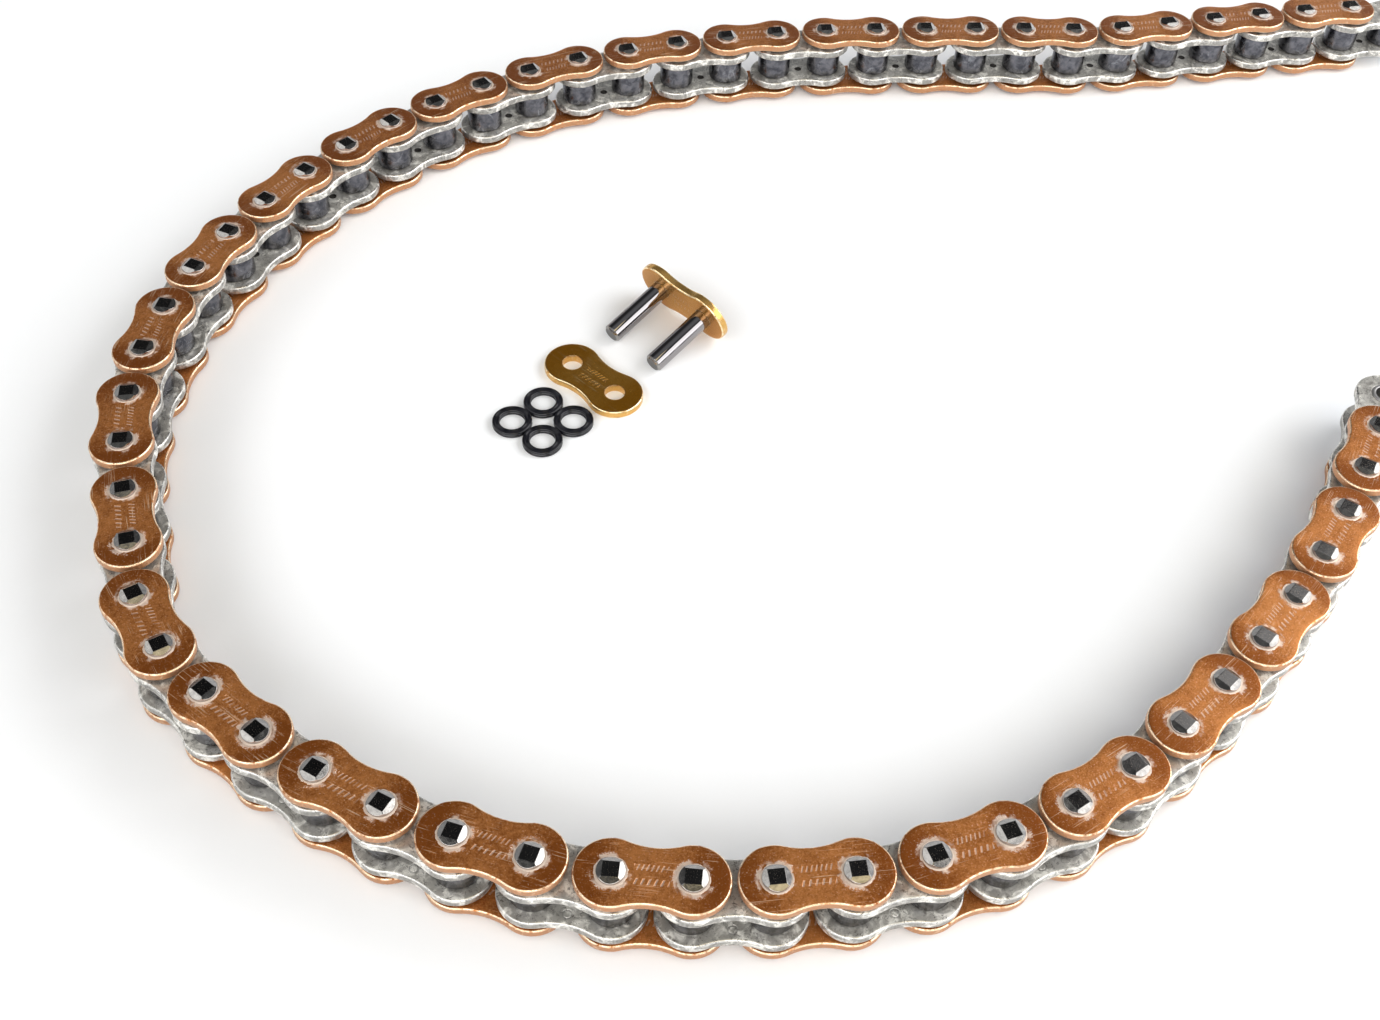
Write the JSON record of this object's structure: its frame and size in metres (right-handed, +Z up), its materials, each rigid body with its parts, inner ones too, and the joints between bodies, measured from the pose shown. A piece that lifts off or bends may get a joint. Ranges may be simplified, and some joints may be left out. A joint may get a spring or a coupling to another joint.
{
  "type": "motorcycle drive chain",
  "caption": "Sealed roller drive chain laid open in a loop on its side, with copper outer plates, nickel inner plates, and its loose rivet connecting link inside the loop.",
  "frame": {"origin": "middle of the floor area that the lay covers, at the plane of the pins' lower ends", "axes": "+Z up along the chain's pins; +X towards the side where both chain ends lie, the lay's longest extent; +Y from the near run to the far run"},
  "size_m": [0.3754, 0.3426, 0.0212],
  "materials": {
    "copper_plate": "copper-coloured plating on steel, satin, brighter on the cut edges",
    "nickel_plate": "nickel plating on steel, satin, with traces of grease",
    "gold_plate": "gold-coloured plating on steel, bright on the edges",
    "pin_steel": "hardened steel, ground and oiled",
    "roller_steel": "dark hardened steel, glossy, with a bluish cast",
    "seal_rubber": "black nitrile rubber, smooth and greased"
  },
  "bodies": {
    "inner_link_01": {"inner_link_01": "nickel_plate"},
    "outer_link_01": {"outer_link_01": "copper_plate"},
    "inner_link_02": {"inner_link_02": "nickel_plate"},
    "outer_link_02": {"outer_link_02": "copper_plate"},
    "inner_link_03": {"inner_link_03": "nickel_plate"},
    "outer_link_03": {"outer_link_03": "copper_plate"},
    "inner_link_04": {"inner_link_04": "nickel_plate"},
    "outer_link_04": {"outer_link_04": "copper_plate"},
    "inner_link_05": {"inner_link_05": "nickel_plate"},
    "outer_link_05": {"outer_link_05": "copper_plate"},
    "inner_link_06": {"inner_link_06": "nickel_plate"},
    "outer_link_06": {"outer_link_06": "copper_plate"},
    "inner_link_07": {"inner_link_07": "nickel_plate"},
    "outer_link_07": {"outer_link_07": "copper_plate"},
    "inner_link_08": {"inner_link_08": "nickel_plate"},
    "outer_link_08": {"outer_link_08": "copper_plate"},
    "inner_link_09": {"inner_link_09": "nickel_plate"},
    "outer_link_09": {"outer_link_09": "copper_plate"},
    "inner_link_10": {"inner_link_10": "nickel_plate"},
    "outer_link_10": {"outer_link_10": "copper_plate"},
    "inner_link_11": {"inner_link_11": "nickel_plate"},
    "outer_link_11": {"outer_link_11": "copper_plate"},
    "inner_link_12": {"inner_link_12": "nickel_plate"},
    "outer_link_12": {"outer_link_12": "copper_plate"},
    "inner_link_13": {"inner_link_13": "nickel_plate"},
    "outer_link_13": {"outer_link_13": "copper_plate"},
    "inner_link_14": {"inner_link_14": "nickel_plate"},
    "outer_link_14": {"outer_link_14": "copper_plate"},
    "inner_link_15": {"inner_link_15": "nickel_plate"},
    "outer_link_15": {"outer_link_15": "copper_plate"},
    "inner_link_16": {"inner_link_16": "nickel_plate"},
    "outer_link_16": {"outer_link_16": "copper_plate"},
    "inner_link_17": {"inner_link_17": "nickel_plate"},
    "outer_link_17": {"outer_link_17": "copper_plate"},
    "inner_link_18": {"inner_link_18": "nickel_plate"},
    "outer_link_18": {"outer_link_18": "copper_plate"},
    "inner_link_19": {"inner_link_19": "nickel_plate"},
    "outer_link_19": {"outer_link_19": "copper_plate"},
    "inner_link_20": {"inner_link_20": "nickel_plate"},
    "outer_link_20": {"outer_link_20": "copper_plate"},
    "inner_link_21": {"inner_link_21": "nickel_plate"},
    "outer_link_21": {"outer_link_21": "copper_plate"},
    "inner_link_22": {"inner_link_22": "nickel_plate"},
    "outer_link_22": {"outer_link_22": "copper_plate"},
    "inner_link_23": {"inner_link_23": "nickel_plate"},
    "outer_link_23": {"outer_link_23": "copper_plate"},
    "inner_link_24": {"inner_link_24": "nickel_plate"},
    "outer_link_24": {"outer_link_24": "copper_plate"},
    "inner_link_25": {"inner_link_25": "nickel_plate"},
    "outer_link_25": {"outer_link_25": "copper_plate"},
    "inner_link_26": {"inner_link_26": "nickel_plate"},
    "outer_link_26": {"outer_link_26": "copper_plate"},
    "inner_link_27": {"inner_link_27": "nickel_plate"},
    "outer_link_27": {"outer_link_27": "copper_plate"},
    "inner_link_28": {"inner_link_28": "nickel_plate"},
    "outer_link_28": {"outer_link_28": "copper_plate"},
    "inner_link_29": {"inner_link_29": "nickel_plate"},
    "connecting_pin_plate": {"connecting_pin_plate": "gold_plate"},
    "connecting_side_plate": {"connecting_side_plate": "gold_plate"},
    "connecting_seal_rings": {"connecting_seal_rings": "seal_rubber"}
  },
  "joints": [
    {"name": "pin_hinge_01", "type": "hinge", "parent": "outer_link_01", "child": "inner_link_01", "pos_m": [0.16475, 0.16032, 0.0106], "axis": [0, 0, 1], "range_deg": [-29.7, 30.3]},
    {"name": "pin_hinge_02", "type": "hinge", "parent": "inner_link_02", "child": "outer_link_01", "pos_m": [0.14929, 0.15669, 0.0106], "axis": [0, 0, -1], "range_deg": [-30.3, 29.7]},
    {"name": "pin_hinge_03", "type": "hinge", "parent": "outer_link_02", "child": "inner_link_02", "pos_m": [0.13386, 0.15299, 0.0106], "axis": [0, 0, 1], "range_deg": [-29.7, 30.3]},
    {"name": "pin_hinge_04", "type": "hinge", "parent": "inner_link_03", "child": "outer_link_02", "pos_m": [0.11844, 0.1492, 0.0106], "axis": [0, 0, -1], "range_deg": [-30.3, 29.7]},
    {"name": "pin_hinge_05", "type": "hinge", "parent": "outer_link_03", "child": "inner_link_03", "pos_m": [0.10304, 0.14533, 0.0106], "axis": [0, 0, 1], "range_deg": [-29.7, 30.3]},
    {"name": "pin_hinge_06", "type": "hinge", "parent": "inner_link_04", "child": "outer_link_03", "pos_m": [0.08767, 0.14138, 0.0106], "axis": [0, 0, -1], "range_deg": [-24.5, 35.5]},
    {"name": "pin_hinge_07", "type": "hinge", "parent": "outer_link_04", "child": "inner_link_04", "pos_m": [0.07198, 0.13893, 0.0106], "axis": [0, 0, 1], "range_deg": [-35.5, 24.5]},
    {"name": "pin_hinge_08", "type": "hinge", "parent": "inner_link_05", "child": "outer_link_04", "pos_m": [0.05613, 0.13799, 0.0106], "axis": [0, 0, -1], "range_deg": [-30.9, 29.1]},
    {"name": "pin_hinge_09", "type": "hinge", "parent": "outer_link_05", "child": "inner_link_05", "pos_m": [0.0403, 0.1368, 0.0106], "axis": [0, 0, 1], "range_deg": [-29.1, 30.9]},
    {"name": "pin_hinge_10", "type": "hinge", "parent": "inner_link_06", "child": "outer_link_05", "pos_m": [0.02449, 0.13536, 0.0106], "axis": [0, 0, -1], "range_deg": [-30.9, 29.1]},
    {"name": "pin_hinge_11", "type": "hinge", "parent": "outer_link_06", "child": "inner_link_06", "pos_m": [0.00871, 0.13367, 0.0106], "axis": [0, 0, 1], "range_deg": [-29.1, 30.9]},
    {"name": "pin_hinge_12", "type": "hinge", "parent": "inner_link_07", "child": "outer_link_06", "pos_m": [-0.00705, 0.13174, 0.0106], "axis": [0, 0, -1], "range_deg": [-33.1, 26.9]},
    {"name": "pin_hinge_13", "type": "hinge", "parent": "outer_link_07", "child": "inner_link_07", "pos_m": [-0.02268, 0.12895, 0.0106], "axis": [0, 0, 1], "range_deg": [-26.9, 33.1]},
    {"name": "pin_hinge_14", "type": "hinge", "parent": "inner_link_08", "child": "outer_link_07", "pos_m": [-0.03813, 0.12533, 0.0106], "axis": [0, 0, -1], "range_deg": [-33.1, 26.9]},
    {"name": "pin_hinge_15", "type": "hinge", "parent": "outer_link_08", "child": "inner_link_08", "pos_m": [-0.05337, 0.12087, 0.0106], "axis": [0, 0, 1], "range_deg": [-26.9, 33.1]},
    {"name": "pin_hinge_16", "type": "hinge", "parent": "inner_link_09", "child": "outer_link_08", "pos_m": [-0.06834, 0.1156, 0.0106], "axis": [0, 0, -1], "range_deg": [-33.1, 26.9]},
    {"name": "pin_hinge_17", "type": "hinge", "parent": "outer_link_09", "child": "inner_link_09", "pos_m": [-0.08301, 0.10952, 0.0106], "axis": [0, 0, 1], "range_deg": [-24.8, 35.2]},
    {"name": "pin_hinge_18", "type": "hinge", "parent": "inner_link_10", "child": "outer_link_09", "pos_m": [-0.09706, 0.10214, 0.0106], "axis": [0, 0, -1], "range_deg": [-35.2, 24.8]},
    {"name": "pin_hinge_19", "type": "hinge", "parent": "outer_link_10", "child": "inner_link_10", "pos_m": [-0.11039, 0.09352, 0.0106], "axis": [0, 0, 1], "range_deg": [-24.8, 35.2]},
    {"name": "pin_hinge_20", "type": "hinge", "parent": "inner_link_11", "child": "outer_link_10", "pos_m": [-0.12289, 0.08372, 0.0106], "axis": [0, 0, -1], "range_deg": [-35.2, 24.8]},
    {"name": "pin_hinge_21", "type": "hinge", "parent": "outer_link_11", "child": "inner_link_11", "pos_m": [-0.13444, 0.07284, 0.0106], "axis": [0, 0, 1], "range_deg": [-24.8, 35.2]},
    {"name": "pin_hinge_22", "type": "hinge", "parent": "inner_link_12", "child": "outer_link_11", "pos_m": [-0.14496, 0.06095, 0.0106], "axis": [0, 0, -1], "range_deg": [-35.2, 24.8]},
    {"name": "pin_hinge_23", "type": "hinge", "parent": "outer_link_12", "child": "inner_link_12", "pos_m": [-0.15436, 0.04815, 0.0106], "axis": [0, 0, 1], "range_deg": [-24.8, 35.2]},
    {"name": "pin_hinge_24", "type": "hinge", "parent": "inner_link_13", "child": "outer_link_12", "pos_m": [-0.16256, 0.03456, 0.0106], "axis": [0, 0, -1], "range_deg": [-35.2, 24.8]},
    {"name": "pin_hinge_25", "type": "hinge", "parent": "outer_link_13", "child": "inner_link_13", "pos_m": [-0.16949, 0.02028, 0.0106], "axis": [0, 0, 1], "range_deg": [-24.8, 35.2]},
    {"name": "pin_hinge_26", "type": "hinge", "parent": "inner_link_14", "child": "outer_link_13", "pos_m": [-0.1751, 0.00543, 0.0106], "axis": [0, 0, -1], "range_deg": [-37.6, 22.4]},
    {"name": "pin_hinge_27", "type": "hinge", "parent": "outer_link_14", "child": "inner_link_14", "pos_m": [-0.1787, -0.01003, 0.0106], "axis": [0, 0, 1], "range_deg": [-22.4, 37.6]},
    {"name": "pin_hinge_28", "type": "hinge", "parent": "inner_link_15", "child": "outer_link_14", "pos_m": [-0.18022, -0.02583, 0.0106], "axis": [0, 0, -1], "range_deg": [-37.6, 22.4]},
    {"name": "pin_hinge_29", "type": "hinge", "parent": "inner_link_15", "child": "outer_link_15", "pos_m": [-0.17964, -0.0417, 0.0106], "axis": [0, 0, -1], "range_deg": [-22.4, 37.6]},
    {"name": "pin_hinge_30", "type": "hinge", "parent": "outer_link_15", "child": "inner_link_16", "pos_m": [-0.17697, -0.05735, 0.0106], "axis": [0, 0, 1], "range_deg": [-37.6, 22.4]},
    {"name": "pin_hinge_31", "type": "hinge", "parent": "inner_link_16", "child": "outer_link_16", "pos_m": [-0.17224, -0.0725, 0.0106], "axis": [0, 0, -1], "range_deg": [-28.7, 31.3]},
    {"name": "pin_hinge_32", "type": "hinge", "parent": "outer_link_16", "child": "inner_link_17", "pos_m": [-0.16718, -0.08755, 0.0106], "axis": [0, 0, 1], "range_deg": [-31.3, 28.7]},
    {"name": "pin_hinge_33", "type": "hinge", "parent": "inner_link_17", "child": "outer_link_17", "pos_m": [-0.16178, -0.10248, 0.0106], "axis": [0, 0, -1], "range_deg": [-15.8, 44.2]},
    {"name": "pin_hinge_34", "type": "hinge", "parent": "outer_link_17", "child": "inner_link_18", "pos_m": [-0.15288, -0.11562, 0.0106], "axis": [0, 0, 1], "range_deg": [-44.2, 15.8]},
    {"name": "pin_hinge_35", "type": "hinge", "parent": "inner_link_18", "child": "outer_link_18", "pos_m": [-0.14102, -0.12618, 0.0106], "axis": [0, 0, -1], "range_deg": [-24.8, 35.2]},
    {"name": "pin_hinge_36", "type": "hinge", "parent": "outer_link_18", "child": "inner_link_19", "pos_m": [-0.12826, -0.13562, 0.0106], "axis": [0, 0, 1], "range_deg": [-35.2, 24.8]},
    {"name": "pin_hinge_37", "type": "hinge", "parent": "inner_link_19", "child": "outer_link_19", "pos_m": [-0.1147, -0.14387, 0.0106], "axis": [0, 0, -1], "range_deg": [-24.8, 35.2]},
    {"name": "pin_hinge_38", "type": "hinge", "parent": "outer_link_19", "child": "inner_link_20", "pos_m": [-0.10044, -0.15086, 0.0106], "axis": [0, 0, 1], "range_deg": [-35.2, 24.8]},
    {"name": "pin_hinge_39", "type": "hinge", "parent": "inner_link_20", "child": "outer_link_20", "pos_m": [-0.08561, -0.15652, 0.0106], "axis": [0, 0, -1], "range_deg": [-24, 36]},
    {"name": "pin_hinge_40", "type": "hinge", "parent": "outer_link_20", "child": "inner_link_21", "pos_m": [-0.07027, -0.1606, 0.0106], "axis": [0, 0, 1], "range_deg": [-36, 24]},
    {"name": "pin_hinge_41", "type": "hinge", "parent": "inner_link_21", "child": "outer_link_21", "pos_m": [-0.05459, -0.16306, 0.0106], "axis": [0, 0, -1], "range_deg": [-24, 36]},
    {"name": "pin_hinge_42", "type": "hinge", "parent": "outer_link_21", "child": "inner_link_22", "pos_m": [-0.03873, -0.16386, 0.0106], "axis": [0, 0, 1], "range_deg": [-36, 24]},
    {"name": "pin_hinge_43", "type": "hinge", "parent": "inner_link_22", "child": "outer_link_22", "pos_m": [-0.02288, -0.163, 0.0106], "axis": [0, 0, -1], "range_deg": [-24, 36]},
    {"name": "pin_hinge_44", "type": "hinge", "parent": "outer_link_22", "child": "inner_link_23", "pos_m": [-0.00721, -0.16049, 0.0106], "axis": [0, 0, 1], "range_deg": [-36, 24]},
    {"name": "pin_hinge_45", "type": "hinge", "parent": "inner_link_23", "child": "outer_link_23", "pos_m": [0.00812, -0.15636, 0.0106], "axis": [0, 0, -1], "range_deg": [-24, 36]},
    {"name": "pin_hinge_46", "type": "hinge", "parent": "outer_link_23", "child": "inner_link_24", "pos_m": [0.02293, -0.15064, 0.0106], "axis": [0, 0, 1], "range_deg": [-37.2, 22.8]},
    {"name": "pin_hinge_47", "type": "hinge", "parent": "inner_link_24", "child": "outer_link_24", "pos_m": [0.03691, -0.14311, 0.0106], "axis": [0, 0, -1], "range_deg": [-22.8, 37.2]},
    {"name": "pin_hinge_48", "type": "hinge", "parent": "outer_link_24", "child": "inner_link_25", "pos_m": [0.04983, -0.1339, 0.0106], "axis": [0, 0, 1], "range_deg": [-37.2, 22.8]},
    {"name": "pin_hinge_49", "type": "hinge", "parent": "inner_link_25", "child": "outer_link_25", "pos_m": [0.0615, -0.12313, 0.0106], "axis": [0, 0, -1], "range_deg": [-27, 33]},
    {"name": "pin_hinge_50", "type": "hinge", "parent": "outer_link_25", "child": "inner_link_26", "pos_m": [0.07259, -0.11177, 0.0106], "axis": [0, 0, 1], "range_deg": [-33, 27]},
    {"name": "pin_hinge_51", "type": "hinge", "parent": "inner_link_26", "child": "outer_link_26", "pos_m": [0.08307, -0.09984, 0.0106], "axis": [0, 0, -1], "range_deg": [-27, 33]},
    {"name": "pin_hinge_52", "type": "hinge", "parent": "outer_link_26", "child": "inner_link_27", "pos_m": [0.0929, -0.08738, 0.0106], "axis": [0, 0, 1], "range_deg": [-33, 27]},
    {"name": "pin_hinge_53", "type": "hinge", "parent": "inner_link_27", "child": "outer_link_27", "pos_m": [0.10208, -0.07443, 0.0106], "axis": [0, 0, -1], "range_deg": [-27, 33]},
    {"name": "pin_hinge_54", "type": "hinge", "parent": "outer_link_27", "child": "inner_link_28", "pos_m": [0.11056, -0.06101, 0.0106], "axis": [0, 0, 1], "range_deg": [-33, 27]},
    {"name": "pin_hinge_55", "type": "hinge", "parent": "inner_link_28", "child": "outer_link_28", "pos_m": [0.11833, -0.04717, 0.0106], "axis": [0, 0, -1], "range_deg": [-27, 33]},
    {"name": "pin_hinge_56", "type": "hinge", "parent": "outer_link_28", "child": "inner_link_29", "pos_m": [0.12536, -0.03293, 0.0106], "axis": [0, 0, 1], "range_deg": [-33, 27]},
    {"name": "pin_plate_lift", "type": "slide", "parent": "inner_link_15", "child": "connecting_pin_plate", "axis": [0, 0, 1], "range_m": [0, 0.03]},
    {"name": "side_plate_lift", "type": "slide", "parent": "inner_link_15", "child": "connecting_side_plate", "axis": [0, 0, 1], "range_m": [0, 0.03]},
    {"name": "seal_rings_lift", "type": "slide", "parent": "inner_link_15", "child": "connecting_seal_rings", "axis": [0, 0, 1], "range_m": [0, 0.03]}
  ]
}
